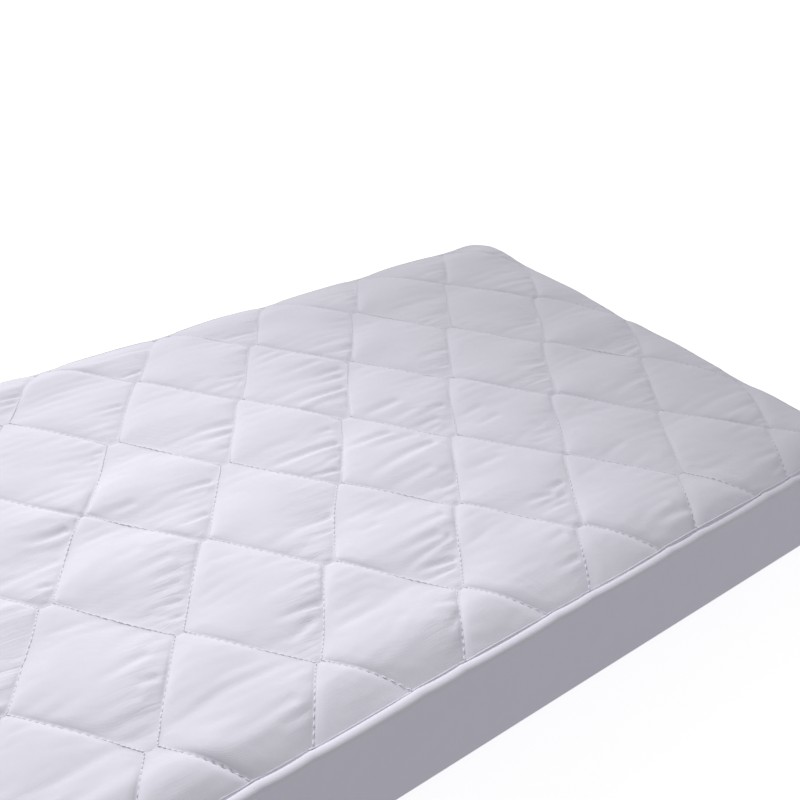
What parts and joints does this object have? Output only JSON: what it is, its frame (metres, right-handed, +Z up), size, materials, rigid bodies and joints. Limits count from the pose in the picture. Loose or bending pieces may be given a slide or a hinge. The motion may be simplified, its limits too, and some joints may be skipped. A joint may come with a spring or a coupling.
{
  "type": "crib mattress protector on a mattress",
  "caption": "Quilted cloth crib mattress protector with diamond puffs, a rolled edge welt and a plain side skirt turned under the foam mattress it fits.",
  "frame": {"origin": "on the surface it lies on, under the middle of the mattress", "axes": "+X along the mattress towards the head end, +Y across it towards the side that is farther in the picture, +Z up"},
  "size_m": [1.321, 0.711, 0.153],
  "materials": {
    "quilt_cloth": "soft matt white woven microfibre, quilted in diamonds",
    "welt_cloth": "soft matt white woven cloth, rolled",
    "skirt_cloth": "smooth matt white knitted cloth",
    "ticking": "matt off-white ticking"
  },
  "bodies": {
    "root": {"quilted_top": "quilt_cloth", "edge_welt": "welt_cloth", "side_skirt": "skirt_cloth", "mattress": "ticking"}
  },
  "joints": []
}
